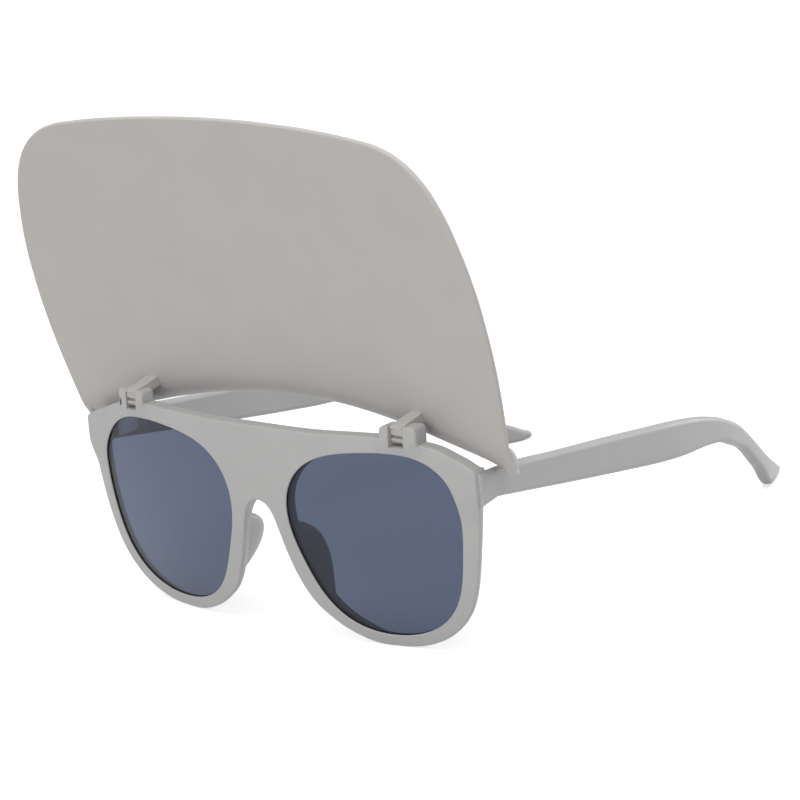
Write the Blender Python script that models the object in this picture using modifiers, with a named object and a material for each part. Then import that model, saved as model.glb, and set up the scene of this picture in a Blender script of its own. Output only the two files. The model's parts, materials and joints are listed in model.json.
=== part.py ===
"""Sunglasses with a large flip-up visor hinged on the brow.

Metres, +Z up. The front of the glasses faces -Y, the temples run back along +Y and fold on
upright barrel hinges. The visor is modelled raised, on two pins held by ears on the brow.
"""

import math

import bmesh
import bpy
import numpy as np
from mathutils import Matrix, Vector

MM = 0.001
CLEARANCE = 0.25 * MM
RUNNING = 0.05 * MM
WELD = 0.001 * MM

# Lens opening, a round shape with a few soft lobes
LENS_RADIUS = 26.34 * MM
NOSE_SIDE = 11.66 * MM
RIM_FOOT = 2.66 * MM
LENS_CENTRE_X = NOSE_SIDE + LENS_RADIUS
LENS_CENTRE_Z = RIM_FOOT + LENS_RADIUS
LENS_LOBES = ((2, 0.98, 0.0), (3, -0.49, 1.38), (4, -0.77, -0.31), (5, -0.14, 0.24), (6, -0.08, -0.07))
LOBE_UNIT = LENS_RADIUS / 26.34
LENS_POINTS = 60
LENS_THICKNESS = 1.9 * MM
LENS_RECESS = 0.9 * MM
GROOVE_DEPTH = 1.1 * MM

# Front frame
FRONT_DEPTH = 3.8 * MM
FRONT_ROUND = 0.9 * MM
FRONT_RADIUS_ACROSS = 284.0 * MM
FRONT_RADIUS_UP = 187.0 * MM
FACE_HEIGHT = LENS_CENTRE_Z + 3.65 * MM
FACE_CELL = 8.0 * MM
SIDE_X = LENS_CENTRE_X + LENS_RADIUS + 7.26 * MM
BROW_TOP = LENS_CENTRE_Z + LENS_RADIUS + 1.16 * MM
REST_INNER = LENS_CENTRE_X - 5.0 * MM
REST_OUTER = LENS_CENTRE_X + 5.0 * MM
REST_CUT = 0.3 * MM
RIM_BACK_ROUND = 2.4 * MM
RIM_SIDE_ROUND = 0.7 * MM
RIM_LEVELS = (0.4 * MM, -0.3 * MM)
RIM_ROUND_TOP = BROW_TOP - 14.0 * MM
RIM_ROUND_FADE = 4.5 * MM
BRIDGE_INNER = 3.0 * MM
BRIDGE_FADE = 6.0 * MM

# One unit across and one unit up in the drawn outlines, for a front 143.2 mm wide and 56.5 mm high
WIDE = SIDE_X / 71.6
TALL = BROW_TOP / 56.5

# Nose pads
PAD_X = 11.7 * MM
PAD_Z = 21.3 * MM
PAD_TOP_LENGTH = 10.8 * MM
PAD_TAIL_LENGTH = 18.5 * MM
PAD_TAIL_BEND = 3.0 * MM
PAD_HALF_WIDTH = 2.6 * MM
PAD_REACH = 10.2 * MM
PAD_ROOT = 1.0 * MM
PAD_LEAN = 24.0

# Flip hinge on the brow
FLIP_Y = 7.33 * MM
FLIP_Z = BROW_TOP + 0.72 * MM
EAR_X = LENS_CENTRE_X + 10.1 * MM
EAR_INNER = EAR_X - 5.1 * MM
EAR_OUTER = EAR_X + 5.8 * MM
EAR_TOP = BROW_TOP + 3.6 * MM
EAR_CORNER = 1.5 * MM
EAR_BASE = BROW_TOP - 1.4 * MM
EAR_PROUD = 0.95 * MM
EAR_RAMP = 3.0 * MM
EAR_DEPTH = 4.75 * MM
ARM_WIDTH = 4.0 * MM
WINDOW_FLOOR = BROW_TOP - 1.8 * MM
WINDOW_DEPTH = 12.0 * MM
PIN_RADIUS = 0.95 * MM
PIN_LENGTH = 8.2 * MM
PIN_CHAMFER = 0.15 * MM
HUB_RADIUS = 2.15 * MM
HUB_MOUTH = 14.0
HUB_BACK = 25.0
ARM_THICKNESS = 2.7 * MM
ARM_SEAT = 1.85 * MM
LIP_FRONT = 2.1 * MM
LIP_TOP = 2.75 * MM
LIP_HEIGHT = 0.5 * MM
LIP_OVERHANG = 0.35 * MM
JAW_LOW = 0.5 * MM
TENON_WIDTH = 1.6 * MM
TENON_LENGTH = 0.8 * MM

# Visor panel, raised
VISOR_HEIGHT = 79.4 * MM
VISOR_LEAN = 9.75
VISOR_THICKNESS = 1.5 * MM
VISOR_OFFSET = 9.37 * MM
VISOR_RADIUS_ACROSS = 460.0 * MM
VISOR_FLATTEN = 1.133 * MM
VISOR_ROUND = 0.65 * MM
VISOR_REAR = 0.75 * MM
VISOR_REAR_DROP = 11.28 * MM
VISOR_CURL_RADIUS = 3.5 * MM
VISOR_CURL = 72.0
LUG_HEIGHT = -7.9 * MM
LUG_DEPTH = 2.1 * MM
LUG_HALF_SIZE = (1.4 * MM, 1.7 * MM, 3.9 * MM)

# One unit up in the drawn visor, for a visor 79.4 mm high
VISOR_TALL = VISOR_HEIGHT / 79.4

# Temples and their hinges
TEMPLE_THICKNESS = 3.6 * MM
TEMPLE_OUTER_X = SIDE_X - 0.6 * MM
TEMPLE_ROUND = 0.9 * MM
TEMPLE_TOP = BROW_TOP - 8.2 * MM
TEMPLE_LENGTH = 141.3 * MM
TEMPLE_STRAIGHT = 60.4 * MM
TEMPLE_INWARD = 21.8 * MM
TEMPLE_CELL = 6.0 * MM
SIDE_BACK = SIDE_X * SIDE_X / (2 * FRONT_RADIUS_ACROSS)
SEAM_Y = SIDE_BACK + 5.62 * MM
SEAM_GAP = 0.3 * MM
END_START = SIDE_BACK + 1.6 * MM
END_LOW = TEMPLE_TOP - 6.9 * MM
END_FILLET = 1.2 * MM
END_RISE = 0.3 * MM
HINGE_X = TEMPLE_OUTER_X - 4.8 * MM
HINGE_LOW = TEMPLE_TOP - 5.7 * MM
HINGE_HEIGHT = 5.0 * MM
KNUCKLE_RADIUS = 1.3 * MM
TAB_INSET = 0.1 * MM
TAB_TRIM = 0.02 * MM
SCREW_RADIUS = 0.7 * MM
SCREW_SHORT = 0.2 * MM
SCREW_HEAD_RADIUS = 1.15 * MM
SCREW_HEAD_HEIGHT = 0.6 * MM
SCREW_SLOT = 0.3 * MM
LEAF_THICKNESS = 1.0 * MM
LEAF_SUNK = 0.5 * MM
LEAF_DROP = 0.8 * MM
FRONT_LEAF_START = SIDE_BACK + 0.9 * MM
TEMPLE_LEAF_END = SEAM_Y + 8.35 * MM

# One unit along and one unit up in the drawn temple, for a temple 141.3 mm long and 48.3 mm high
LONG = TEMPLE_LENGTH / 141.3
HIGH = TEMPLE_TOP / 48.3

# From a drawing's plane to the upright plane across X
STAND = Matrix(((0, 0, 1, 0), (1, 0, 0, 0), (0, 1, 0, 0), (0, 0, 0, 1)))

SMOOTH = "AUTO"
CORNER = "VECTOR"
SIDES = {"left": 1, "right": -1}


def clear_scene():
    for thing in list(bpy.data.objects):
        bpy.data.objects.remove(thing, do_unlink=True)


def new_collection(name):
    collection = bpy.data.collections.new(name)
    bpy.context.scene.collection.children.link(collection)
    return collection


clear_scene()
PARTS = new_collection("flip_up_sunglasses")
CUTTERS = new_collection("cutters")
ROOT = bpy.data.objects.new("sunglasses_root", None)
PARTS.objects.link(ROOT)


def new_material(name, colour, roughness, metallic=0.0, alpha=1.0):
    material = bpy.data.materials.new(name)
    material.use_nodes = True
    shader = material.node_tree.nodes["Principled BSDF"]
    shader.inputs["Base Color"].default_value = (*colour, 1.0)
    shader.inputs["Roughness"].default_value = roughness
    shader.inputs["Metallic"].default_value = metallic
    shader.inputs["Alpha"].default_value = alpha
    return material


# Small mesh helpers
def mesh_from(bm, name):
    bmesh.ops.recalc_face_normals(bm, faces=bm.faces)
    mesh = bpy.data.meshes.new(name)
    bm.to_mesh(mesh)
    bm.free()
    return mesh


def add_object(name, mesh, collection=None):
    thing = bpy.data.objects.new(name, mesh)
    (collection or PARTS).objects.link(thing)
    return thing


def baked_mesh(thing):
    """The object's mesh with its modifiers and its own transform in it."""
    bpy.context.view_layer.update()
    seen = thing.evaluated_get(bpy.context.evaluated_depsgraph_get())
    mesh = bpy.data.meshes.new_from_object(seen)
    mesh.transform(thing.matrix_world)
    return mesh


def bake(thing):
    mesh = baked_mesh(thing)
    thing.modifiers.clear()
    thing.matrix_world = Matrix()
    thing.data = mesh


def edit(thing, change):
    bm = bmesh.new()
    bm.from_mesh(thing.data)
    change(bm)
    bm.to_mesh(thing.data)
    bm.free()


def boolean(target, other, operation, solver="EXACT"):
    modifier = target.modifiers.new(other.name, "BOOLEAN")
    modifier.operation = operation
    modifier.object = other
    modifier.solver = solver


def cut(target, cutter):
    """A cut that stays on the target as a modifier."""
    cutter.hide_render = True
    cutter.display_type = "WIRE"
    boolean(target, cutter, "DIFFERENCE")


def merge(target, other, operation="UNION", solver="EXACT"):
    """A Boolean that is applied at once."""
    boolean(target, other, operation, solver)
    bake(target)
    bpy.data.objects.remove(other, do_unlink=True)


def box(name, low, high, collection=None):
    bm = bmesh.new()
    size = Vector(high) - Vector(low)
    middle = (Vector(high) + Vector(low)) / 2
    place = Matrix.Translation(middle) @ Matrix.Diagonal((*size, 1.0))
    bmesh.ops.create_cube(bm, size=1.0, matrix=place)
    return add_object(name, mesh_from(bm, name), collection)


def cylinder(name, centre, axis, radius, length, sides, collection=None):
    bm = bmesh.new()
    turn = Vector(axis).to_track_quat("Z", "Y").to_matrix().to_4x4()
    bmesh.ops.create_cone(bm, cap_ends=True, segments=sides, radius1=radius, radius2=radius,
                          depth=length, matrix=Matrix.Translation(Vector(centre)) @ turn)
    return add_object(name, mesh_from(bm, name), collection)


def chamfer(thing, width, segments=1):
    modifier = thing.modifiers.new("rounded edges", "BEVEL")
    modifier.width = width
    modifier.segments = segments
    modifier.limit_method = "ANGLE"
    modifier.angle_limit = math.radians(40)


def shade(thing, material, angle=35.0):
    thing.data.materials.clear()
    thing.data.materials.append(material)
    thing.data.shade_smooth()
    thing.data.set_sharp_from_angle(angle=math.radians(angle))


def plate(name, points, thickness, rounding=0.0, steps=3, polygon=False, collection=None):
    """A flat slab with a closed outline in its XY plane, centred on Z.

    Each point is (x, y, handle), or (x, y) in a polygon.
    """
    curve = bpy.data.curves.new(name, "CURVE")
    curve.dimensions = "2D"
    curve.fill_mode = "BOTH"
    curve.resolution_u = steps
    curve.extrude = thickness / 2 - rounding
    curve.bevel_depth = rounding
    curve.bevel_resolution = 1
    curve.offset = -rounding
    spline = curve.splines.new("POLY" if polygon else "BEZIER")
    if polygon:
        spline.points.add(len(points) - 1)
        for spot, point in zip(spline.points, points):
            spot.co = (point[0], point[1], 0.0, 1.0)
    else:
        spline.bezier_points.add(len(points) - 1)
        for spot, point in zip(spline.bezier_points, points):
            spot.co = (point[0], point[1], 0.0)
            spot.handle_left_type = point[2]
            spot.handle_right_type = point[2]
    spline.use_cyclic_u = True
    drawn = add_object(name, curve, collection)
    mesh = baked_mesh(drawn)
    bpy.data.objects.remove(drawn, do_unlink=True)
    slab = add_object(name, mesh, collection)

    def tidy(bm):
        bmesh.ops.remove_doubles(bm, verts=bm.verts, dist=WELD)
        bmesh.ops.dissolve_limit(bm, angle_limit=math.radians(0.6), verts=bm.verts, edges=bm.edges)
        bmesh.ops.recalc_face_normals(bm, faces=bm.faces)

    edit(slab, tidy)
    return slab


def slice_along(bm, axis, places):
    for place in places:
        everything = bm.verts[:] + bm.edges[:] + bm.faces[:]
        bmesh.ops.bisect_plane(bm, geom=everything, plane_co=axis * place, plane_no=axis, dist=WELD)


def reshape(bm, mapping):
    """Move every point by a formula, then split the faces it bent into triangles."""
    for vert in bm.verts:
        vert.co = mapping(vert.co)
    bmesh.ops.triangulate(bm, faces=bm.faces)
    bmesh.ops.recalc_face_normals(bm, faces=bm.faces)


def mirrored(points):
    """The outline's +X half, from the top centre round to the bottom centre, and its mirror image."""
    other_half = [(-point[0], *point[1:]) for point in reversed(points) if point[0] > 0]
    return points + other_half


# The front's curved face
def face_y(x, z):
    return x * x / (2 * FRONT_RADIUS_ACROSS) + (z - FACE_HEIGHT) ** 2 / (2 * FRONT_RADIUS_UP)


def lens_outline(grow):
    """Points round the left lens opening, moved outwards by grow."""
    points = []
    for step in range(LENS_POINTS):
        angle = 2 * math.pi * step / LENS_POINTS
        radius = LENS_RADIUS
        slope = 0.0
        for order, along, across in LENS_LOBES:
            radius += LOBE_UNIT * (along * math.cos(order * angle) + across * math.sin(order * angle))
            slope += LOBE_UNIT * order * (across * math.cos(order * angle) - along * math.sin(order * angle))
        turn = angle - math.atan2(slope, radius)
        points.append((LENS_CENTRE_X + radius * math.cos(angle) + grow * math.cos(turn),
                       LENS_CENTRE_Z + radius * math.sin(angle) + grow * math.sin(turn)))
    return points


def front_outline():
    """The front seen from ahead, with the two ear blocks standing on the brow."""
    brow = [(0, 56.5), (20, 56.4), (32, 56.7)]
    outer = [(58.2, 54.6), (62.8, 52.9), (66.9, 51.1), (69.8, 49.6), (71.1, 48.7)]
    side = [(71.6, 47.8), (71.6, 42.8)]
    rim = [(70.2, 39.0), (68.9, 34.0), (67.8, 28.5), (66.5, 21.9), (65.2, 17.5), (63.4, 13.5),
           (61.2, 10.3), (58.4, 7.3), (55.0, 4.5), (51.1, 2.3), (47.2, 0.7)]
    nose = [(28.4, 0.7), (24.6, 2.0), (21.5, 4.0), (18.6, 6.1), (15.3, 8.9), (12.6, 12.4), (10.4, 16.6),
            (8.6, 21.2), (7.2, 25.6), (5.9, 30.0), (4.5, 33.6), (2.5, 35.8), (0, 36.5)]
    points = [(x * WIDE, z * TALL, SMOOTH) for x, z in brow]
    points += ear_outline()
    points += [(x * WIDE, z * TALL, SMOOTH) for x, z in outer]
    points += [(x * WIDE, z * TALL, CORNER) for x, z in side]
    points += [(x * WIDE, z * TALL, SMOOTH) for x, z in rim]
    points += [(REST_OUTER, -REST_CUT, CORNER), (REST_INNER, -REST_CUT, CORNER)]
    points += [(x * WIDE, z * TALL, SMOOTH) for x, z in nose]
    return mirrored(points)


def ear_outline():
    """The left pair of ears in one block with rounded top corners."""
    quarter = EAR_CORNER / 4
    return [(EAR_INNER, BROW_TOP + quarter, CORNER), (EAR_INNER, EAR_TOP - EAR_CORNER, CORNER),
            (EAR_INNER + quarter, EAR_TOP - quarter, SMOOTH), (EAR_INNER + EAR_CORNER, EAR_TOP, CORNER),
            (EAR_OUTER - EAR_CORNER, EAR_TOP, CORNER), (EAR_OUTER - quarter, EAR_TOP - quarter, SMOOTH),
            (EAR_OUTER, EAR_TOP - EAR_CORNER, CORNER), (EAR_OUTER, EAR_BASE + quarter, CORNER)]


def nose_pad(side):
    """A rounded pad moulded on the back of the rim, with a long tail that runs down along it."""
    bm = bmesh.new()
    bmesh.ops.create_uvsphere(bm, u_segments=24, v_segments=16, radius=1.0)
    lean = Matrix.Rotation(math.radians(PAD_LEAN * side), 4, "Z")
    place = Matrix.Translation((side * PAD_X, PAD_Z, FRONT_DEPTH / 2 - PAD_ROOT))
    for vert in bm.verts:
        share = vert.co.y
        bell = (1 + math.cos(math.pi * share)) / 2
        thin = math.sqrt(max(0.0, 1 - share * share)) or 1.0
        length = PAD_TOP_LENGTH if share > 0 else PAD_TAIL_LENGTH
        bend = side * PAD_TAIL_BEND * share * share if share < 0 else 0.0
        width = PAD_HALF_WIDTH * math.sqrt(bell) * vert.co.x / thin
        reach = (PAD_REACH - PAD_ROOT) * bell * vert.co.z / thin
        vert.co = place @ lean @ Vector((width + bend, length * share, reach))
    everything = bm.verts[:] + bm.edges[:] + bm.faces[:]
    base = Vector((0, 0, FRONT_DEPTH / 2 - PAD_ROOT))
    bmesh.ops.bisect_plane(bm, geom=everything, plane_co=base, plane_no=(0, 0, 1), clear_outer=True)
    bmesh.ops.holes_fill(bm, edges=bm.edges, sides=0)
    return add_object("pad", mesh_from(bm, "pad"))


def opening_cutters(side):
    """The lens opening and the groove round it, in the flat slab."""
    opening = [(side * x, z) for x, z in lens_outline(0.0)]
    groove = [(side * x, z) for x, z in lens_outline(GROOVE_DEPTH)]
    hole = plate("opening", opening, 2 * FRONT_DEPTH, polygon=True)
    hole.location.z = FRONT_DEPTH / 2
    bake(hole)
    slot = plate("groove", groove, LENS_THICKNESS + 2 * CLEARANCE, polygon=True)
    slot.location.z = FRONT_DEPTH / 2 - LENS_RECESS - LENS_THICKNESS / 2
    bake(slot)
    return hole, slot


def round_rim(bm):
    """Lean the rim's outer side in towards the lens behind the front face, then level its foot."""
    slice_along(bm, Vector((0, 0, 1)), RIM_LEVELS)
    for vert in bm.verts:
        depth = min(1.0, (FRONT_DEPTH / 2 - vert.co.z) / FRONT_DEPTH)
        round_back = RIM_BACK_ROUND + RIM_SIDE_ROUND * fade(abs(vert.co.x), LENS_CENTRE_X, SIDE_X)
        inward = round_back * (1 - math.sqrt(1 - depth * depth))
        inward *= fade(vert.co.y, RIM_ROUND_TOP, RIM_ROUND_TOP - RIM_ROUND_FADE)
        inward *= fade(abs(vert.co.x), BRIDGE_INNER, BRIDGE_INNER + BRIDGE_FADE)
        centre = Vector((math.copysign(LENS_CENTRE_X, vert.co.x), LENS_CENTRE_Z, vert.co.z))
        vert.co += (centre - vert.co).normalized() * inward
    bmesh.ops.triangulate(bm, faces=[face for face in bm.faces if len(face.verts) == 4])
    everything = bm.verts[:] + bm.edges[:] + bm.faces[:]
    bmesh.ops.bisect_plane(bm, geom=everything, plane_co=(0, 0, 0), plane_no=(0, -1, 0), clear_outer=True)
    bmesh.ops.holes_fill(bm, edges=bm.edges, sides=0)


def fade(value, none, full):
    """0 at one value and 1 at another, straight between them."""
    return min(1.0, max(0.0, (value - none) / (full - none)))


def onto_face(co):
    """From the flat slab to the curved front: its height becomes Z and its depth follows the face.

    The ears stand a little proud of the brow and reach as far back as it does.
    """
    depth = FRONT_DEPTH / 2 - co.z
    proud = 0.0
    if EAR_INNER - WELD < abs(co.x) < EAR_OUTER + WELD:
        proud = fade(co.y, EAR_BASE - EAR_RAMP, EAR_BASE)
        depth += proud * (EAR_DEPTH / FRONT_DEPTH - 1) * depth
    return Vector((co.x, face_y(co.x, co.y) - EAR_PROUD * proud + depth, co.y))


def bend_onto_face(thing):
    def bend(bm):
        slice_along(bm, Vector((1, 0, 0)), np.arange(-9, 10) * FACE_CELL)
        slice_along(bm, Vector((0, 1, 0)), np.arange(1, 7) * FACE_CELL)
        slice_along(bm, Vector((0, 1, 0)), (EAR_BASE - EAR_RAMP, EAR_BASE))
        reshape(bm, onto_face)

    edit(thing, bend)


def endpiece(side):
    """The block at the front's corner that carries the temple hinge."""
    inner = TEMPLE_OUTER_X - TEMPLE_THICKNESS
    outer = (TEMPLE_OUTER_X + SIDE_X) / 2
    back = SEAM_Y - SEAM_GAP / 2
    points = [(END_START, END_LOW - END_FILLET, CORNER), (back, END_LOW, CORNER),
              (back, TEMPLE_TOP, CORNER), (END_START, TEMPLE_TOP + END_RISE, CORNER)]
    block = plate("endpiece", points, outer - inner, rounding=TEMPLE_ROUND)
    block.data.transform(Matrix.Translation((side * (inner + outer) / 2, 0, 0)) @ STAND)
    return block


def front_frame(material):
    frame = plate("front_frame", front_outline(), FRONT_DEPTH, rounding=FRONT_ROUND, steps=2)
    edit(frame, round_rim)
    for side in SIDES.values():
        merge(frame, nose_pad(side), solver="MANIFOLD")
    for side in SIDES.values():
        for cutter in opening_cutters(side):
            merge(frame, cutter, "DIFFERENCE")
    bend_onto_face(frame)
    for side in SIDES.values():
        merge(frame, endpiece(side))
    for name, side in SIDES.items():
        cut(frame, window_cutter(name, side))
        cut(frame, pin_cutter(name, side))
        cut(frame, hinge_cutter(name, side, front=True))
        cut(frame, knuckle_cutter(name, side, "front"))
    shade(frame, material)
    return frame


def lens(name, side, material):
    outline = [(side * x, z) for x, z in lens_outline(GROOVE_DEPTH - CLEARANCE)]
    disc = plate("lens_" + name, outline, LENS_THICKNESS, polygon=True)
    disc.data.transform(Matrix.Translation((0, 0, FRONT_DEPTH / 2 - LENS_RECESS - LENS_THICKNESS / 2)))
    bend_onto_face(disc)
    shade(disc, material)
    return disc


# Flip hinge
def window_cutter(name, side):
    half = ARM_WIDTH / 2 + CLEARANCE
    low = (side * EAR_X - half, FLIP_Y - WINDOW_DEPTH / 2, WINDOW_FLOOR)
    high = (side * EAR_X + half, FLIP_Y + WINDOW_DEPTH / 2, EAR_TOP + ARM_THICKNESS)
    return box("window_cut_" + name, low, high, CUTTERS)


def pin_cutter(name, side):
    length = PIN_LENGTH + CLEARANCE
    centre = (side * EAR_X, FLIP_Y, FLIP_Z)
    return cylinder("pin_cut_" + name, centre, (1, 0, 0), PIN_RADIUS + RUNNING, length, 20, CUTTERS)


def visor_pin(name, side, material):
    centre = (side * EAR_X, FLIP_Y, FLIP_Z)
    pin = cylinder("visor_pin_" + name, centre, (1, 0, 0), PIN_RADIUS, PIN_LENGTH, 20)
    chamfer(pin, PIN_CHAMFER)
    shade(pin, material)
    return pin


def arc(centre, radius, start, end, steps):
    angles = np.radians(np.linspace(start, end, steps))
    return [(centre[0] + radius * math.cos(a), centre[1] + radius * math.sin(a)) for a in angles]


def visor_point(q, p, offset):
    """A point of the raised visor: q across, p up the panel and offset behind the flip axis."""
    lean = math.radians(VISOR_LEAN)
    return Vector((q, FLIP_Y - p * math.sin(lean) + offset * math.cos(lean),
                   FLIP_Z + p * math.cos(lean) + offset * math.sin(lean)))


def visor_face(q):
    """How far the panel's near face lies behind the flip axis, and its slope across."""
    share = q / SIDE_X
    depth = VISOR_OFFSET - q * q / (2 * VISOR_RADIUS_ACROSS) + VISOR_FLATTEN * share ** 4
    slope = -q / VISOR_RADIUS_ACROSS + 4 * VISOR_FLATTEN * share ** 3 / SIDE_X
    return depth, slope


def visor_rear(q):
    """Height of the panel's lower, rear edge."""
    share = q / SIDE_X
    return VISOR_REAR - VISOR_REAR_DROP * share * share


def visor_arm(name, side, material):
    """A clip that snaps on the pin, with a tongue that reaches up to the panel."""
    hub = Vector((FLIP_Y, FLIP_Z))
    face = visor_face(EAR_X)[0] - CLEARANCE
    end_low = visor_point(0, ARM_SEAT - ARM_THICKNESS / 2, face)
    end_high = visor_point(0, ARM_SEAT + ARM_THICKNESS / 2, face)
    lip = hub + Vector((-LIP_FRONT, LIP_TOP))
    lip_low = lip - Vector((0, LIP_HEIGHT))
    recess = lip_low + Vector((LIP_OVERHANG, 0))
    jaw = Vector((recess.x, FLIP_Z + JAW_LOW))
    bore = PIN_RADIUS + 1.6 * RUNNING
    outline = arc(hub, HUB_RADIUS, 180 + HUB_MOUTH, 360 + HUB_BACK, 13)
    outline += [(end_low.y, end_low.z), (end_high.y, end_high.z)]
    outline += [tuple(point) for point in (lip, lip_low, recess, jaw)]
    outline += arc(hub, bore, 180 - HUB_MOUTH, -180 + HUB_MOUTH, 15)
    arm = plate("visor_arm_" + name, outline, ARM_WIDTH, polygon=True)
    arm.data.transform(Matrix.Translation((side * EAR_X, 0, 0)) @ STAND)
    merge(arm, tenon("tenon", side, 0.0))
    shade(arm, material)
    return arm


def tenon(name, side, grow, collection=None):
    """The square peg on the arm's end, or with grow its socket in the panel."""
    half = TENON_WIDTH / 2 + grow
    face = visor_face(EAR_X)[0]
    root = 4 * CLEARANCE
    peg = box(name, (-half, -half, -root), (half, half, TENON_LENGTH + grow), collection)
    lean = math.radians(VISOR_LEAN)
    turn = Matrix.Rotation(math.radians(-90) + lean, 4, "X")
    peg.data.transform(Matrix.Translation(visor_point(side * EAR_X, ARM_SEAT, face)) @ turn)
    return peg


# Visor panel
def visor_outline():
    """Half the flat panel in its own plane, from the top centre round to the rear centre."""
    curl = math.radians(VISOR_CURL)
    extra = VISOR_CURL_RADIUS * (1 - curl)
    edge = [(0, 79.4), (30, 78.7), (50, 77.4), (60, 75.8), (65.7, 73.3), (69.7, 70.2), (72.9, 66.4),
            (76.2, 60), (79.0, 50), (80.6, 40), (81.1, 30), (80.9, 20), (80.0, 10), (78.6, 0), (77.5, -7)]
    rear = [(77.0, 2.2), (76.3, 0.6), (74.6, 0), (60, 0), (45, 0), (30, 0), (15, 0), (0, 0)]
    points = [(q * WIDE, p * VISOR_TALL, SMOOTH) for q, p in edge]
    points += [(q * WIDE, visor_rear(q * WIDE) + extra + p * VISOR_TALL, SMOOTH) for q, p in rear]
    return mirrored(points)


def corner_lug(side):
    """The rounded lug behind the panel's lower corner."""
    bm = bmesh.new()
    turn = Matrix.Rotation(math.radians(VISOR_LEAN), 4, "X")
    scale = Matrix.Diagonal((*LUG_HALF_SIZE, 1.0))
    across = 76.1 * WIDE
    middle = visor_point(side * across, LUG_HEIGHT, visor_face(across)[0] + LUG_DEPTH)
    place = Matrix.Translation(middle) @ turn @ scale
    bmesh.ops.create_uvsphere(bm, u_segments=16, v_segments=10, radius=1.0, matrix=place)
    return add_object("lug", mesh_from(bm, "lug"))


def visor_panel(material):
    panel = plate("visor_panel", visor_outline(), VISOR_THICKNESS, rounding=VISOR_ROUND)
    curl_radius = VISOR_CURL_RADIUS
    curl = math.radians(VISOR_CURL)

    def straighten(co):
        return Vector((co.x, co.y - visor_rear(co.x), co.z + VISOR_THICKNESS / 2))

    def curve_back(co):
        depth, slope = visor_face(co.x)
        start = visor_rear(co.x) + curl_radius
        angle = max(0.0, (curl_radius - co.y) / curl_radius)
        up = co.y + visor_rear(co.x)
        back = 0.0
        if angle > 0.0:
            up = start - curl_radius * math.sin(angle)
            back = curl_radius * (1 - math.cos(angle))
        normal = Vector((-slope * math.cos(angle), math.sin(angle), math.cos(angle))).normalized() * co.z
        return visor_point(co.x + normal.x, up + normal.y, depth + back + normal.z)

    def bend(bm):
        for vert in bm.verts:
            vert.co = straighten(vert.co)
        slice_along(bm, Vector((1, 0, 0)), np.arange(-9, 10) * FACE_CELL)
        steps = 5
        slice_along(bm, Vector((0, 1, 0)), [curl_radius * (1 - curl * i / steps) for i in range(steps)])
        reshape(bm, curve_back)

    edit(panel, bend)
    for side in SIDES.values():
        merge(panel, corner_lug(side))
    for name, side in SIDES.items():
        cut(panel, tenon("tenon_cut_" + name, side, CLEARANCE, CUTTERS))
    shade(panel, material)
    return panel


# Temples
def temple_outline():
    """The temple seen from the side: along the top from the hinge to the tip, and back below."""
    top = [(9.8, 48.1), (24.7, 45.9), (56.4, 41.4), (79.0, 37.5), (90.8, 34.2), (99.6, 30.6),
           (107.3, 26.5), (113.2, 22.0), (117.4, 18.5), (121.9, 14.6), (126.9, 10.5), (132.6, 6.6),
           (138.1, 3.2), (140.8, 1.3)]
    foot = [(138.4, 0), (131.4, 0)]
    below = [(129.3, 0.5), (126.8, 2.3), (124.1, 5.2), (121.4, 8.3), (117.4, 11.8), (113.3, 15.6),
             (109.2, 18.8), (102.8, 22.1), (96.7, 24.9), (90.6, 26.5), (72.1, 28.8), (38.8, 34.5)]
    front = SEAM_Y + SEAM_GAP / 2
    points = [(front, TEMPLE_TOP, CORNER)]
    points += [(SEAM_Y + y * LONG, z * HIGH, SMOOTH) for y, z in top]
    points += [(SEAM_Y + y * LONG, z * HIGH, CORNER) for y, z in foot]
    points += [(SEAM_Y + y * LONG, z * HIGH, SMOOTH) for y, z in below]
    points += [(front, 41.5 * HIGH, CORNER)]
    return points


def temple(name, side, material):
    blade = plate("temple_" + name, temple_outline(), TEMPLE_THICKNESS, rounding=TEMPLE_ROUND)
    middle = TEMPLE_OUTER_X - TEMPLE_THICKNESS / 2
    bend_start = SEAM_Y + TEMPLE_STRAIGHT
    bend_length = TEMPLE_LENGTH - TEMPLE_STRAIGHT

    def curve_in(co):
        share = max(0.0, co.x - bend_start) / bend_length
        slope = -2 * TEMPLE_INWARD * share / bend_length
        normal = Vector((1.0, -slope)).normalized() * co.z
        return Vector((side * (middle - TEMPLE_INWARD * share ** 2 + normal.x), co.x + normal.y, co.y))

    def bend(bm):
        slice_along(bm, Vector((1, 0, 0)), np.arange(bend_start, SEAM_Y + TEMPLE_LENGTH, TEMPLE_CELL))
        reshape(bm, curve_in)

    edit(blade, bend)
    cut(blade, hinge_cutter(name, side, front=False))
    cut(blade, knuckle_cutter(name, side, "temple"))
    shade(blade, material)
    return blade


# Temple hinges
def leaf_box(side, front):
    """Corners of a hinge leaf's plate, sunk in the front's endpiece or in the temple."""
    inner = TEMPLE_OUTER_X - TEMPLE_THICKNESS + LEAF_SUNK - LEAF_THICKNESS
    reach = KNUCKLE_RADIUS + CLEARANCE
    y_low = FRONT_LEAF_START if front else SEAM_Y + reach
    y_high = SEAM_Y - reach if front else TEMPLE_LEAF_END
    drop = 0.0 if front else LEAF_DROP
    low = [side * inner, y_low, HINGE_LOW - drop]
    high = [side * (inner + LEAF_THICKNESS), y_high, HINGE_LOW + HINGE_HEIGHT - drop]
    low[0], high[0] = sorted((low[0], high[0]))
    return low, high


def hinge_cutter(name, side, front):
    low, high = leaf_box(side, front)
    gap = Vector((CLEARANCE, CLEARANCE, CLEARANCE))
    place = "front" if front else "temple"
    return box(f"{place}_leaf_cut_{name}", Vector(low) - gap, Vector(high) + gap, CUTTERS)


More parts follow.
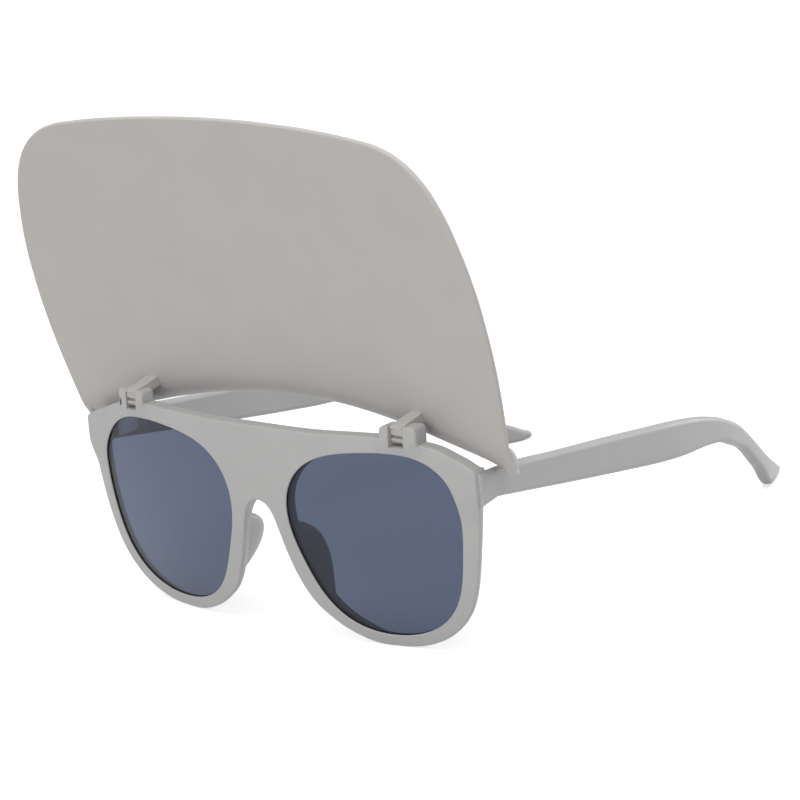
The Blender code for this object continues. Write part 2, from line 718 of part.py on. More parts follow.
def knuckle_cutter(name, side, place):
    """Room for the barrel, in the endpiece or in the temple."""
    height = HINGE_HEIGHT + 2 * (SCREW_HEAD_HEIGHT + CLEARANCE)
    centre = (side * HINGE_X, SEAM_Y, HINGE_LOW + HINGE_HEIGHT / 2)
    radius = KNUCKLE_RADIUS + CLEARANCE
    return cylinder(f"{place}_knuckle_cut_{name}", centre, (0, 0, 1), radius, height, 24, CUTTERS)


def knuckle_spans(front):
    """Heights of the barrel's knuckles: two on the front leaf, one between them on the temple's."""
    third = (HINGE_HEIGHT - 2 * CLEARANCE) / 3
    starts = (0, 2) if front else (1,)
    return [HINGE_LOW + index * (third + CLEARANCE) for index in starts], third


def hinge_leaf(name, side, front, material):
    place = "front" if front else "temple"
    low, high = leaf_box(side, front)
    leaf = box(f"{place}_hinge_leaf_{name}", low, high)
    starts, height = knuckle_spans(front)
    for start in starts:
        centre = (side * HINGE_X, SEAM_Y, start + height / 2)
        merge(leaf, cylinder("knuckle", centre, (0, 0, 1), KNUCKLE_RADIUS, height, 24))
        tab_inner = HINGE_X + TAB_INSET
        tab_outer = TEMPLE_OUTER_X - TEMPLE_THICKNESS - CLEARANCE
        tab_far = SEAM_Y + (-1 if front else 1) * (KNUCKLE_RADIUS + 2 * CLEARANCE)
        tab_low = [side * tab_inner, min(SEAM_Y, tab_far), start + TAB_TRIM]
        tab_high = [side * tab_outer, max(SEAM_Y, tab_far), start + height - TAB_TRIM]
        tab_low[0], tab_high[0] = sorted((tab_low[0], tab_high[0]))
        merge(leaf, box("tab", tab_low, tab_high))
    bore = (side * HINGE_X, SEAM_Y, HINGE_LOW + HINGE_HEIGHT / 2)
    drill = cylinder("drill", bore, (0, 0, 1), SCREW_RADIUS + RUNNING, 2 * HINGE_HEIGHT, 16)
    merge(leaf, drill, "DIFFERENCE")
    shade(leaf, material)
    return leaf


def hinge_screw(name, side, material):
    """A slotted screw dropped in from the top of the barrel."""
    high = HINGE_LOW + HINGE_HEIGHT
    shaft_low = HINGE_LOW + SCREW_SHORT
    centre = (side * HINGE_X, SEAM_Y, (shaft_low + high + SCREW_HEAD_HEIGHT / 2) / 2)
    length = high + SCREW_HEAD_HEIGHT / 2 - shaft_low
    screw = cylinder("hinge_screw_" + name, centre, (0, 0, 1), SCREW_RADIUS, length, 16)
    head_low = high + RUNNING
    head_centre = (side * HINGE_X, SEAM_Y, head_low + SCREW_HEAD_HEIGHT / 2)
    merge(screw, cylinder("head", head_centre, (0, 0, 1), SCREW_HEAD_RADIUS, SCREW_HEAD_HEIGHT, 16))
    half = SCREW_SLOT / 2
    reach = 2 * SCREW_HEAD_RADIUS
    slot_low = (side * HINGE_X - half, SEAM_Y - reach, head_low + SCREW_HEAD_HEIGHT / 2)
    slot_high = (side * HINGE_X + half, SEAM_Y + reach, head_low + 2 * SCREW_HEAD_HEIGHT)
    merge(screw, box("slot", slot_low, slot_high), "DIFFERENCE")
    shade(screw, material)
    return screw


def joint_axis(name, place):
    """An empty on a joint's axis."""
    axis = bpy.data.objects.new(name, None)
    PARTS.objects.link(axis)
    axis.parent = ROOT
    axis.location = place
    return axis


def hang(pieces, holder):
    """Parent the pieces and their cutters, which stay where they are."""
    for piece in pieces:
        cutters = [modifier.object for modifier in piece.modifiers if modifier.type == "BOOLEAN"]
        for thing in [piece] + cutters:
            thing.parent = holder
            if holder is not ROOT:
                thing.matrix_parent_inverse = Matrix.Translation(-holder.location)


def place_root(pieces):
    """Put the middle of the underside of the whole on the world's origin."""
    seen = bpy.context.evaluated_depsgraph_get()
    corners = np.array([corner for piece in pieces for corner in piece.evaluated_get(seen).bound_box])
    low = corners.min(axis=0)
    high = corners.max(axis=0)
    ROOT.location = (-(low[0] + high[0]) / 2, -(low[1] + high[1]) / 2, -low[2])


def build():
    plastic = new_material("grey_plastic", (0.40, 0.39, 0.38), 0.42)
    visor_plastic = new_material("visor_plastic", (0.44, 0.42, 0.40), 0.42)
    tinted = new_material("tinted_lens", (0.10, 0.12, 0.16), 0.08, alpha=0.6)
    steel = new_material("steel", (0.62, 0.62, 0.62), 0.3, metallic=1.0)
    front = [front_frame(plastic)]
    visor = [visor_panel(visor_plastic)]
    temples = {}
    for name, side in SIDES.items():
        front.append(lens(name, side, tinted))
        front.append(visor_pin(name, side, plastic))
        front.append(hinge_leaf(name, side, True, steel))
        front.append(hinge_screw(name, side, steel))
        visor.append(visor_arm(name, side, visor_plastic))
        temples[name] = [temple(name, side, plastic), hinge_leaf(name, side, False, steel)]
    bpy.context.view_layer.update()
    place_root(front + visor + temples["left"] + temples["right"])
    hang(front, ROOT)
    hang(visor, joint_axis("visor_axis", (0, FLIP_Y, FLIP_Z)))
    for name, side in SIDES.items():
        middle = (side * HINGE_X, SEAM_Y, HINGE_LOW + HINGE_HEIGHT / 2)
        hang(temples[name], joint_axis("temple_axis_" + name, middle))


build()
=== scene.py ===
"""Looks of the flip-up visor sunglasses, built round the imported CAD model.

Metres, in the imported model's frame: +X to the wearer's left, +Y backwards, +Z up. The outlines
below are written in the CAD source's own millimetres, and SHIFT moves them into the frame.
A value named BAND holds two places: where an effect has no strength, and where it has all of it.
"""

import json
import math

import bmesh
import bpy
import numpy as np
from mathutils import Matrix, Vector


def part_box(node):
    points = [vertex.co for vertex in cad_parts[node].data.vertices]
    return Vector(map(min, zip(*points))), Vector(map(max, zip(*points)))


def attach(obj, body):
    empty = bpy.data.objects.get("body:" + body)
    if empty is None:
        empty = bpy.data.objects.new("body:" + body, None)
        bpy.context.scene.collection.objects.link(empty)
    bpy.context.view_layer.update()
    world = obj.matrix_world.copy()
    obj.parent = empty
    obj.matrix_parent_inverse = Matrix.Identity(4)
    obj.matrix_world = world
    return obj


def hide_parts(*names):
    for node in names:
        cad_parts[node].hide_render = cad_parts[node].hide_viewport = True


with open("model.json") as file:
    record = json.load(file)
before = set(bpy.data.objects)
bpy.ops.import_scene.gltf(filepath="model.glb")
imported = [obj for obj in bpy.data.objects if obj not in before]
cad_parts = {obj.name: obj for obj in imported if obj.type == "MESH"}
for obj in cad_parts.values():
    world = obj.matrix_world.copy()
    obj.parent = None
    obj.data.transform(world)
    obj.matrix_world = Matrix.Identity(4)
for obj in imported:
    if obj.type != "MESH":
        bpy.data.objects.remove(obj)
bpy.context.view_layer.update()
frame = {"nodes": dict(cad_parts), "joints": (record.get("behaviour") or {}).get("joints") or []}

MM = 0.001
WELD = 0.001 * MM
SIDES = {"left": 1, "right": -1}
X_AXIS = Vector((1, 0, 0))
Y_AXIS = Vector((0, 1, 0))
Z_AXIS = Vector((0, 0, 1))
SMOOTH = "AUTO"
CORNER = "VECTOR"
FLAT_ANGLE = 0.2
SHARP_ANGLE = 38.0

# Stands a plate up, with its X backwards, its Y upwards and its Z sideways
STAND = Matrix(((0, 0, 1, 0), (1, 0, 0, 0), (0, 1, 0, 0), (0, 0, 0, 1)))

# Flip hinge
FLIP_Y = 7.33 * MM
FLIP_Z = 57.22 * MM
JOINTS = {joint["name"]: joint for joint in frame["joints"]}
SHIFT = Vector((0, JOINTS["visor_flip"]["pos_m"][1] - FLIP_Y, 0))

# Front
FRONT_DEPTH = 3.8 * MM
FRONT_RADIUS_ACROSS = 284.0 * MM
FRONT_RADIUS_UP = 187.0 * MM
FACE_HEIGHT = 32.65 * MM
FRONT_ROUND = 0.55 * MM
FRONT_CELL = 2.5 * MM
FRONT_GRID_X = 72.0 * MM
FRONT_GRID_TOP = 60.0 * MM
RIM_LEVELS = (0.6 * MM, 0.2 * MM, -0.2 * MM, -0.6 * MM)
RIM_BACK_ROUND = 2.4 * MM
RIM_SIDE_ROUND = 1.5 * MM
RIM_BAND_Z = (42.5 * MM, 38.0 * MM)
RIM_BAND_X = (3.0 * MM, 9.0 * MM)
SIDE_X = 71.6 * MM
BROW_CRISP = 0.4
BROW_BAND_Z = (47.0 * MM, 51.0 * MM)
CORNER_FORWARD = 1.6 * MM
CORNER_BAND_X = (60.0 * MM, 71.0 * MM)
CORNER_BAND_Z = (35.0 * MM, 44.0 * MM)
ENDPIECE_START = 8.8 * MM
ENDPIECE_LEVEL = 12.4 * MM
ENDPIECE_LOW = 41.4 * MM
ENDPIECE_DROP = 1.2 * MM
ENDPIECE_RISE = 1.4 * MM

# Lens opening
LENS_CENTRE_X = 38.0 * MM
LENS_CENTRE_Z = 29.0 * MM
LENS_RADIUS = 26.34 * MM
LENS_LOBES = ((2, 0.98, 0.0), (3, -0.49, 1.38), (4, -0.77, -0.31), (5, -0.14, 0.24),
              (6, -0.08, -0.07))
LENS_POINTS = 144
LENS_THICKNESS = 1.3 * MM
LENS_RECESS = 0.55 * MM
LENS_RINGS = 14
GROOVE_DEPTH = 1.1 * MM
CLEARANCE = 0.25 * MM
RUNNING = 0.05 * MM
LENS_GAP = 0.15 * MM
OPENING_LEAD = 1.0 * MM
OPENING_ROUND = 0.3 * MM
QUARTER_ROUND = ((0.0, 1.0), (0.1, 0.56), (0.29, 0.29), (0.56, 0.1), (1.0, 0.0))
FLARE_BAND = (-0.5, 0.0)
FLARE_IN_RIM = ((2.5, 0.4), (3.0, 0.8), (3.5, 1.15))
FLARE_AT_BACK = 1.35 * MM
FLARE_BEHIND = 1.4 * MM
OVERCUT = 0.1 * MM

# Nose pads
PAD_X = 11.3 * MM
PAD_Z = 23.5 * MM
PAD_TOP_LENGTH = 8.0 * MM
PAD_TAIL_LENGTH = 20.7 * MM
PAD_TAIL_BEND = 3.0 * MM
PAD_HALF_WIDTH = 2.6 * MM
PAD_REACH = 10.9 * MM
PAD_ROOT = 1.0 * MM
PAD_LEAN = 24.0
PAD_TAIL_FULLNESS = 0.8

# Ears and arms
EAR_X = 48.1 * MM
EAR_INNER = 43.0 * MM
EAR_OUTER = 53.9 * MM
EAR_TOP = 60.1 * MM
EAR_CORNER = 1.5 * MM
EAR_BASE = 55.1 * MM
EAR_PROUD = 0.95 * MM
EAR_RAMP = 3.0 * MM
EAR_DEPTH = 4.75 * MM
BROW_TOP = 56.5 * MM
ARM_WIDTH = 4.15 * MM
WINDOW_WIDTH = 4.4 * MM
WINDOW_FLOOR = 54.7 * MM
WINDOW_HALF_DEPTH = 6.0 * MM
WINDOW_TOP = EAR_TOP + 2.0 * MM
PIN_RADIUS = 0.95 * MM
PIN_LENGTH = 8.2 * MM
HUB_RADIUS = 2.15 * MM
HUB_MOUTH = 14.0
HUB_BACK = 25.0
ARM_THICKNESS = 2.7 * MM
ARM_SEAT = 1.85 * MM
ARM_ROUND = 0.2 * MM
ARM_SINK = 0.3 * MM
ARM_BORE_GAP = 0.08 * MM
LIP_FRONT = 2.1 * MM
LIP_TOP = 2.75 * MM
LIP_HEIGHT = 0.5 * MM
LIP_OVERHANG = 0.35 * MM
JAW_LOW = 0.5 * MM

# Visor panel
VISOR_LEAN = 9.75
VISOR_THICKNESS = 1.5 * MM
VISOR_OFFSET = 9.37 * MM
VISOR_RADIUS_ACROSS = 460.0 * MM
VISOR_FLATTEN = 1.133 * MM
VISOR_ROUND = 0.65 * MM
VISOR_REAR = 0.75 * MM
VISOR_REAR_DROP = 11.28 * MM
VISOR_REAR_SAG = 1.3 * MM
VISOR_SAG_BAND = (74.0 * MM, 50.0 * MM)
VISOR_CURL_LENGTH = 10.0 * MM
VISOR_CURL = 84.0
VISOR_CURL_GAIN = 1.6
VISOR_CURL_CUTS = 14
VISOR_CELL = 4.0 * MM
VISOR_CELLS_X = 20
VISOR_CELLS_UP = 23
LUG_X = 76.1 * MM
LUG_HEIGHT = -7.9 * MM
LUG_DEPTH = 2.4 * MM
LUG_HALF_SIZE = (1.5 * MM, 2.1 * MM, 4.1 * MM)

# Temples
TEMPLE_THICKNESS = 3.6 * MM
TEMPLE_OUTER_X = 71.0 * MM
TEMPLE_ROUND = 1.35 * MM
TEMPLE_TOP = 48.3 * MM
TEMPLE_TOP_RISE = 0.1 * MM
TEMPLE_LOW = 41.2 * MM
TEMPLE_LOW_RISE = 0.5 * MM
TEMPLE_LENGTH = 141.3 * MM
TEMPLE_STRAIGHT = 60.4 * MM
TEMPLE_INWARD = 21.8 * MM
TEMPLE_SINK = 0.55 * MM
TEMPLE_SINK_FRONT_BAND = (0.0, 12.0 * MM)
TEMPLE_SINK_TIP_BAND = (132.0 * MM, 112.0 * MM)
TEMPLE_CELL = 2.0 * MM
RIGHT_TURN = 0.0384
RIGHT_TURN_START = 6.0 * MM
SEAM_Y = JOINTS["temple_left_fold"]["pos_m"][1] - SHIFT.y
SEAM_GAP = 0.1 * MM
SEAM_OVERRUN = 3.0 * MM

# Temple hinges
HINGE_HEIGHT = 5.0 * MM
KNUCKLE_RADIUS = 1.3 * MM
SCREW_HEAD_HEIGHT = 0.6 * MM

# Camera, from the photograph's perspective
FRAME_PIXELS = 800
SENSOR = 36.0
FOCAL_PIXELS = 3575.8
CAMERA_DISTANCE = 928.6 * MM
CAMERA_TARGET = Vector((22.85, 34.29, 55.66)) * MM
CAMERA_BACK = Vector((0.6706, -0.6871, 0.2798))
CAMERA_RIGHT = Vector((0.7354, 0.6653, -0.1287))
CAMERA_UP = Vector((-0.0978, 0.2920, 0.9513))

# Studio
FLOOR_HALF_SIZE = 3.0
FLOOR_GREY = 0.56
FLOOR_GLOW = 0.62
SKY_COLOUR = (0.955, 0.968, 1.0, 1.0)
SKY_LIGHT = 0.60
SKY_SEEN = 1.05


# Mesh helpers
def mesh_from(bm, name):
    bmesh.ops.recalc_face_normals(bm, faces=bm.faces)
    mesh = bpy.data.meshes.new(name)
    bm.to_mesh(mesh)
    bm.free()
    return mesh


def add_object(name, mesh):
    thing = bpy.data.objects.new(name, mesh)
    bpy.context.scene.collection.objects.link(thing)
    return thing


def evaluated_mesh(thing):
    """The object's mesh with its modifiers in it."""
    bpy.context.view_layer.update()
    seen = thing.evaluated_get(bpy.context.evaluated_depsgraph_get())
    return bpy.data.meshes.new_from_object(seen)


def bake(thing):
    """Put the object's modifiers and transform into its mesh."""
    mesh = evaluated_mesh(thing)
    mesh.transform(thing.matrix_world)
    thing.modifiers.clear()
    thing.matrix_world = Matrix()
    thing.data = mesh


def edit(thing, change):
    """Make a change to the object's mesh."""
    bm = bmesh.new()
    bm.from_mesh(thing.data)
    change(bm)
    bm.to_mesh(thing.data)
    bm.free()


def merge(target, other, operation="UNION", solver="EXACT"):
    """Join another object to the target, or cut it out of it, and delete that object."""
    modifier = target.modifiers.new(other.name, "BOOLEAN")
    modifier.operation = operation
    modifier.object = other
    modifier.solver = solver
    bake(target)
    bpy.data.objects.remove(other, do_unlink=True)


def plate(name, points, thickness, rounding=0.0, steps=8, rounds=2, polygon=False):
    """A flat slab with a closed outline in its XY plane, centred on Z."""
    curve = bpy.data.curves.new(name, "CURVE")
    curve.dimensions = "2D"
    curve.fill_mode = "BOTH"
    curve.resolution_u = steps
    curve.extrude = thickness / 2 - rounding
    curve.bevel_depth = rounding
    curve.bevel_resolution = rounds
    curve.offset = -rounding
    spline = curve.splines.new("POLY" if polygon else "BEZIER")
    if polygon:
        spline.points.add(len(points) - 1)
        for spot, point in zip(spline.points, points):
            spot.co = (point[0], point[1], 0.0, 1.0)
    else:
        spline.bezier_points.add(len(points) - 1)
        for spot, point in zip(spline.bezier_points, points):
            spot.co = (point[0], point[1], 0.0)
            spot.handle_left_type = point[2]
            spot.handle_right_type = point[2]
    spline.use_cyclic_u = True
    slab = add_object(name, curve)
    mesh = evaluated_mesh(slab)
    bpy.data.objects.remove(slab, do_unlink=True)
    slab = add_object(name, mesh)

    def clean(bm):
        flat = math.radians(FLAT_ANGLE)
        bmesh.ops.remove_doubles(bm, verts=bm.verts, dist=WELD)
        bmesh.ops.dissolve_limit(bm, angle_limit=flat, verts=bm.verts, edges=bm.edges)
        bmesh.ops.recalc_face_normals(bm, faces=bm.faces)

    edit(slab, clean)
    return slab


def trim(bm, point, outwards):
    """Cut off what lies past a plane and close the cut flat."""
    everything = bm.verts[:] + bm.edges[:] + bm.faces[:]
    bmesh.ops.bisect_plane(bm, geom=everything, plane_co=point, plane_no=outwards, clear_outer=True)
    bmesh.ops.holes_fill(bm, edges=bm.edges, sides=0)


def slice_along(bm, axis, places):
    """Add edges where planes across an axis meet the mesh."""
    for where in places:
        everything = bm.verts[:] + bm.edges[:] + bm.faces[:]
        bmesh.ops.bisect_plane(bm, geom=everything, plane_co=axis * where, plane_no=axis, dist=WELD)


def reshape(bm, mapping):
    """Move every point as mapped, and split the faces that would bend."""
    for vert in bm.verts:
        vert.co = mapping(vert.co)
    bmesh.ops.triangulate(bm, faces=[face for face in bm.faces if len(face.verts) > 4])
    bmesh.ops.recalc_face_normals(bm, faces=bm.faces)


def mirrored(points):
    """A whole outline from its half on the +X side, which starts and ends in the middle."""
    other_half = [(-point[0], *point[1:]) for point in reversed(points) if point[0] > 0]
    return points + other_half


def fade(value, none, full):
    """How far a value has come from one place to another, as a share."""
    return min(1.0, max(0.0, (value - none) / (full - none)))


def ease(value, none, full):
    """The same as fade, with soft ends."""
    share = fade(value, none, full)
    return share * share * (3 - 2 * share)


def loft(name, rows):
    """A closed solid through rings of points, each ring with the same number of them."""
    bm = bmesh.new()
    rings = [[bm.verts.new(point) for point in row] for row in rows]
    count = len(rings[0])
    for lower, upper in zip(rings, rings[1:]):
        for i in range(count):
            j = (i + 1) % count
            bm.faces.new((lower[i], lower[j], upper[j], upper[i]))
    bm.faces.new(rings[0][::-1])
    bm.faces.new(rings[-1])
    return add_object(name, mesh_from(bm, name))


def smooth_shading(thing):
    """Smooth faces between sharp edges, with the normals led by the large faces."""
    thing.data.shade_smooth()
    thing.data.set_sharp_from_angle(angle=math.radians(SHARP_ANGLE))
    weighted = thing.modifiers.new("normals", "WEIGHTED_NORMAL")
    weighted.mode = "FACE_AREA"
    weighted.keep_sharp = True


def place(thing, body, nodes, material):
    """Move a finished piece into the frame, dress it and let it ride on its body."""
    thing.data.transform(Matrix.Translation(SHIFT))
    thing.data.materials.clear()
    thing.data.materials.append(material)
    smooth_shading(thing)
    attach(thing, body)
    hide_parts(*nodes)


# Materials
def new_material(name):
    material = bpy.data.materials.new(name)
    material.use_nodes = True
    tree = material.node_tree
    return material, tree, tree.nodes["Principled BSDF"]


def noise(tree, scale, detail=3.0):
    """Cloudy noise in the object's own space."""
    where = tree.nodes.new("ShaderNodeTexCoord")
    node = tree.nodes.new("ShaderNodeTexNoise")
    node.inputs["Scale"].default_value = scale
    node.inputs["Detail"].default_value = detail
    tree.links.new(where.outputs["Object"], node.inputs["Vector"])
    return node.outputs["Fac"]


def ramp(tree, factor, low, high, start=0.35, end=0.65):
    """A colour that goes from low to high with a factor."""
    node = tree.nodes.new("ShaderNodeValToRGB")
    node.color_ramp.elements[0].position = start
    node.color_ramp.elements[0].color = low
    node.color_ramp.elements[1].position = end
    node.color_ramp.elements[1].color = high
    tree.links.new(factor, node.inputs["Fac"])
    return node.outputs["Color"]


def grey(value):
    return (value, value, value, 1.0)


def moulded_plastic(name, colour, roughness):
    """Satin moulded plastic: faint cloudiness in its colour and gloss, and a very fine grain."""
    material, tree, shader = new_material(name)
    darkest = 0.985
    lightest = 1.012
    low = (*(channel * darkest for channel in colour), 1.0)
    high = (*(channel * lightest for channel in colour), 1.0)
    clouds = ramp(tree, noise(tree, scale=60.0), low, high)
    tree.links.new(clouds, shader.inputs["Base Color"])
    smoothest = roughness - 0.04
    roughest = roughness + 0.05
    gloss = ramp(tree, noise(tree, scale=140.0, detail=5.0), grey(smoothest), grey(roughest))
    tree.links.new(gloss, shader.inputs["Roughness"])
    shader.inputs["IOR"].default_value = 1.46
    bump = tree.nodes.new("ShaderNodeBump")
    bump.inputs["Strength"].default_value = 0.12
    bump.inputs["Distance"].default_value = 0.02 * MM
    tree.links.new(noise(tree, scale=5200.0, detail=2.0), bump.inputs["Height"])
    tree.links.new(bump.outputs["Normal"], shader.inputs["Normal"])
    return material


def tinted_lens(name):
    """Polished blue-grey tint, darker where light crosses it at a slant, under a thin clear coat."""
    material, tree, shader = new_material(name)
    low = (0.0720, 0.0900, 0.1400, 1.0)
    high = (0.0740, 0.0925, 0.1435, 1.0)
    tint = ramp(tree, noise(tree, scale=45.0), low, high)
    tree.links.new(tint, shader.inputs["Base Color"])
    polish = ramp(tree, noise(tree, scale=300.0), grey(0.002), grey(0.006))
    tree.links.new(polish, shader.inputs["Roughness"])
    shader.inputs["Transmission Weight"].default_value = 1.0
    shader.inputs["IOR"].default_value = 1.1
    shader.inputs["Coat Weight"].default_value = 0.44
    shader.inputs["Coat Roughness"].default_value = 0.03
    shader.inputs["Coat IOR"].default_value = 1.5
    return material


def steel(name):
    """Unevenly polished steel of the hinge leaves and screws."""
    material, tree, shader = new_material(name)
    colour = ramp(tree, noise(tree, scale=900.0), (0.50, 0.50, 0.51, 1.0), grey(0.60))
    tree.links.new(colour, shader.inputs["Base Color"])
    polish = ramp(tree, noise(tree, scale=1500.0), grey(0.28), grey(0.42))
    tree.links.new(polish, shader.inputs["Roughness"])
    shader.inputs["Metallic"].default_value = 1.0
    return material


FRAME_PLASTIC = moulded_plastic("frame_plastic", (0.430, 0.426, 0.418), 0.42)
VISOR_PLASTIC = moulded_plastic("visor_plastic", (0.483, 0.457, 0.434), 0.46)
LENS_TINT = tinted_lens("lens_tint")
STEEL = steel("hinge_steel")


# Front
def face_y(x, z):
    """How far back the front's face lies, curved both ways."""
    return x * x / (2 * FRONT_RADIUS_ACROSS) + (z - FACE_HEIGHT) ** 2 / (2 * FRONT_RADIUS_UP)


def lens_outline(grow, flare=0.0):
    """The opening's outline, grown all round and flared everywhere but beside the nose."""
    points = []
    for step in range(LENS_POINTS):
        angle = 2 * math.pi * step / LENS_POINTS
        radius = LENS_RADIUS
        slope = 0.0
        for order, along, across in LENS_LOBES:
            radius += MM * (along * math.cos(order * angle) + across * math.sin(order * angle))
            slope += MM * order * (across * math.cos(order * angle) - along * math.sin(order * angle))
        turn = angle - math.atan2(slope, radius)
        spread = grow + flare * ease(math.cos(angle), *FLARE_BAND)
        points.append((LENS_CENTRE_X + radius * math.cos(angle) + spread * math.cos(turn),
                       LENS_CENTRE_Z + radius * math.sin(angle) + spread * math.sin(turn)))
    return points


def front_outline():
    """The front seen from ahead, with the ears on its brow."""
    brow = [(0, 56.5), (20, 56.4), (32, 56.7)]
    outer = [(58.2, 54.6), (62.6, 52.9), (66.4, 51.7), (69.0, 50.5), (70.2, 49.9)]
    side = [(70.5, 49.4), (70.5, 42.8)]
    rim = [(70.0, 39.0), (69.3, 34.0), (68.3, 28.4), (66.9, 21.8), (65.6, 17.3), (63.9, 13.2),
           (61.8, 9.9), (58.9, 6.8), (55.4, 4.2), (51.4, 2.2), (47.3, 0.9), (43.0, 0.2), (38.5, 0.0),
           (33.5, 0.1), (30.0, 0.7)]
    nose = [(27.4, 1.5), (24.6, 2.6), (21.5, 4.2), (18.6, 6.2), (15.3, 8.9), (12.6, 12.4),
            (10.4, 16.6), (8.6, 21.2), (7.2, 25.6), (5.9, 30.0), (4.5, 33.6), (2.5, 35.8), (0, 36.5)]
    points = [(x * MM, z * MM, SMOOTH) for x, z in brow]
    points += ear_outline()
    points += [(x * MM, z * MM, SMOOTH) for x, z in outer]
    points += [(x * MM, z * MM, CORNER) for x, z in side]
    points += [(x * MM, z * MM, SMOOTH) for x, z in rim + nose]
    return mirrored(points)


def ear_outline():
    """The ear's part of the outline, with its two top corners rounded."""
    quarter = EAR_CORNER / 4
    return [(EAR_INNER, BROW_TOP + quarter, CORNER), (EAR_INNER, EAR_TOP - EAR_CORNER, CORNER),
            (EAR_INNER + quarter, EAR_TOP - quarter, SMOOTH),
            (EAR_INNER + EAR_CORNER, EAR_TOP, CORNER), (EAR_OUTER - EAR_CORNER, EAR_TOP, CORNER),
            (EAR_OUTER - quarter, EAR_TOP - quarter, SMOOTH),
            (EAR_OUTER, EAR_TOP - EAR_CORNER, CORNER), (EAR_OUTER, EAR_BASE + quarter, CORNER)]


def round_rim(bm):
    """Lean the rim's outer side in behind the front face, crisp up the brow and level the foot."""
    slice_along(bm, Z_AXIS, RIM_LEVELS)
    for vert in bm.verts:
        behind = max(0.0, FRONT_DEPTH / 2 - vert.co.z)
        depth = min(1.0, behind / FRONT_DEPTH)
        if behind < FRONT_ROUND:
            set_in = FRONT_ROUND - math.sqrt(FRONT_ROUND ** 2 - (FRONT_ROUND - behind) ** 2)
            vert.co.y += BROW_CRISP * set_in * fade(vert.co.y, *BROW_BAND_Z)
        round_back = RIM_BACK_ROUND + RIM_SIDE_ROUND * fade(abs(vert.co.x), LENS_CENTRE_X, SIDE_X)
        inward = round_back * (1 - math.sqrt(1 - depth * depth))
        inward *= fade(vert.co.y, *RIM_BAND_Z) * fade(abs(vert.co.x), *RIM_BAND_X)
        centre = Vector((math.copysign(LENS_CENTRE_X, vert.co.x), LENS_CENTRE_Z, vert.co.z))
        vert.co += (centre - vert.co).normalized() * inward
    bmesh.ops.triangulate(bm, faces=[face for face in bm.faces if len(face.verts) == 4])
    trim(bm, (0, 0, 0), -Y_AXIS)


def nose_pad(side):
    """A rounded pad with a long tail that runs down along the rim."""
    bm = bmesh.new()
    bmesh.ops.create_uvsphere(bm, u_segments=64, v_segments=40, radius=1.0)
    root = FRONT_DEPTH / 2 - PAD_ROOT
    lean = Matrix.Rotation(math.radians(PAD_LEAN * side), 4, "Z")
    where = Matrix.Translation((side * PAD_X, PAD_Z, root))
    for vert in bm.verts:
        share = vert.co.y
        ring = math.sqrt(max(0.0, 1 - share * share))
        bell = ring
        if share < 0:
            bell = ((1 + math.cos(math.pi * share)) / 2) ** PAD_TAIL_FULLNESS
        length = PAD_TOP_LENGTH if share > 0 else PAD_TAIL_LENGTH
        bend = side * PAD_TAIL_BEND * share * share if share < 0 else 0.0
        width = PAD_HALF_WIDTH * math.sqrt(bell) * vert.co.x / (ring or 1.0)
        reach = (PAD_REACH - PAD_ROOT) * bell * vert.co.z / (ring or 1.0)
        vert.co = where @ lean @ Vector((width + bend, length * share, reach))
    trim(bm, (0, 0, root), Z_AXIS)
    return add_object("pad", mesh_from(bm, "pad"))


def opening_cutter(side):
    """The lens opening with its rounded front edge and the groove round it, as one lofted tool."""
    groove_front = LENS_RECESS - LENS_GAP
    groove_back = LENS_RECESS + LENS_THICKNESS + LENS_GAP
    profile = [(-OPENING_LEAD, OPENING_ROUND)]
    profile += [(deep * OPENING_ROUND, wide * OPENING_ROUND) for deep, wide in QUARTER_ROUND]
    profile += [(groove_front, 0.0), (groove_front, GROOVE_DEPTH)]
    profile += [(groove_back, GROOVE_DEPTH), (groove_back, 0.0)]
    flared = [(depth * MM, flare * MM) for depth, flare in FLARE_IN_RIM]
    flared += [(FRONT_DEPTH + OVERCUT, FLARE_AT_BACK), (FRONT_DEPTH + PAD_REACH, FLARE_BEHIND)]
    rows = [[(side * x, z, FRONT_DEPTH / 2 - depth) for x, z in lens_outline(grow)]
            for depth, grow in profile]
    rows += [[(side * x, z, FRONT_DEPTH / 2 - depth) for x, z in lens_outline(0.0, flare)]
             for depth, flare in flared]
    return loft("opening", rows)


def onto_face(co):
    """From the flat slab to the curved front, with its ears proud and its corners forward."""
    depth = FRONT_DEPTH / 2 - co.z
    proud = 0.0
    if EAR_INNER - WELD < abs(co.x) < EAR_OUTER + WELD:
        proud = fade(co.y, EAR_BASE - EAR_RAMP, EAR_BASE)
        depth += proud * (EAR_DEPTH / FRONT_DEPTH - 1) * depth
    forward = EAR_PROUD * proud
    forward += CORNER_FORWARD * ease(abs(co.x), *CORNER_BAND_X) * ease(co.y, *CORNER_BAND_Z)
    return Vector((co.x, face_y(co.x, co.y) - forward + depth, co.y))


def bend_onto_face(bm):
    """Curve the front, with enough edges for the curve to look smooth."""
    slice_along(bm, X_AXIS, np.arange(-FRONT_GRID_X, FRONT_GRID_X, FRONT_CELL))
    slice_along(bm, Y_AXIS, np.arange(FRONT_CELL, FRONT_GRID_TOP, FRONT_CELL))
    reshape(bm, onto_face)


